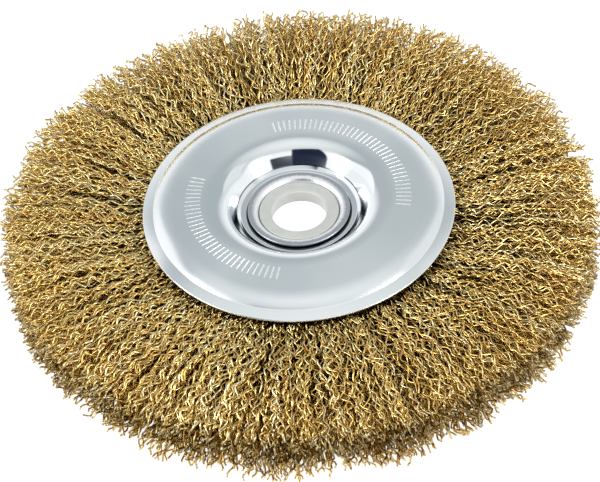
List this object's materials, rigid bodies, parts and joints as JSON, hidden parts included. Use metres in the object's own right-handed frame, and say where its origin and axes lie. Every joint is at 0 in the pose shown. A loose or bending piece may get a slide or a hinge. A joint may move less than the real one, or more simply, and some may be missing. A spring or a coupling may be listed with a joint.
{
  "type": "crimped wire wheel brush",
  "caption": "Crimped wire wheel brush for a bench grinder: dished steel side plates clamp folded wires on a core ring, and a flared tube with a reducing bush takes the spindle.",
  "frame": {"origin": "centre of the bore, at mid-thickness of the wheel", "axes": "+Z along the spindle axis, out of the front plate; the wheel lies flat, on the wires of its rear side"},
  "size_m": [0.154, 0.154, 0.0176],
  "materials": {
    "plate": "bright zinc plating, pressed sheet",
    "hub": "bright zinc plating, drawn and flared",
    "inner_steel": "plain steel, hidden",
    "bush": "moulded natural nylon",
    "wire": "brass-coated crimped steel wire"
  },
  "bodies": {
    "wheel": {"front_plate": "plate", "rear_plate": "plate", "flared_tube": "hub", "spacer_ring": "inner_steel", "core_ring": "inner_steel", "wire_bundle_01": "wire", "wire_bundle_02": "wire", "wire_bundle_03": "wire", "wire_bundle_04": "wire", "wire_bundle_05": "wire", "wire_bundle_06": "wire", "wire_bundle_07": "wire", "wire_bundle_08": "wire", "wire_bundle_09": "wire", "wire_bundle_10": "wire", "wire_bundle_11": "wire", "wire_bundle_12": "wire", "wire_bundle_13": "wire", "wire_bundle_14": "wire", "wire_bundle_15": "wire", "wire_bundle_16": "wire", "wire_bundle_17": "wire", "wire_bundle_18": "wire", "wire_bundle_19": "wire", "wire_bundle_20": "wire", "wire_bundle_21": "wire", "wire_bundle_22": "wire", "wire_bundle_23": "wire", "wire_bundle_24": "wire", "wire_bundle_25": "wire", "wire_bundle_26": "wire", "wire_bundle_27": "wire", "wire_bundle_28": "wire", "wire_bundle_29": "wire", "wire_bundle_30": "wire", "wire_bundle_31": "wire", "wire_bundle_32": "wire", "wire_bundle_33": "wire", "wire_bundle_34": "wire", "wire_bundle_35": "wire", "wire_bundle_36": "wire", "wire_bundle_37": "wire", "wire_bundle_38": "wire", "wire_bundle_39": "wire", "wire_bundle_40": "wire", "wire_bundle_41": "wire", "wire_bundle_42": "wire", "wire_bundle_43": "wire", "wire_bundle_44": "wire", "wire_bundle_45": "wire", "wire_bundle_46": "wire", "wire_bundle_47": "wire", "wire_bundle_48": "wire"},
    "bush": {"reducing_bush": "bush"}
  },
  "joints": [
    {"name": "bush_slide", "type": "slide", "parent": "wheel", "child": "bush", "axis": [0, 0, 1], "range_m": [-0.02, 0.02]}
  ]
}
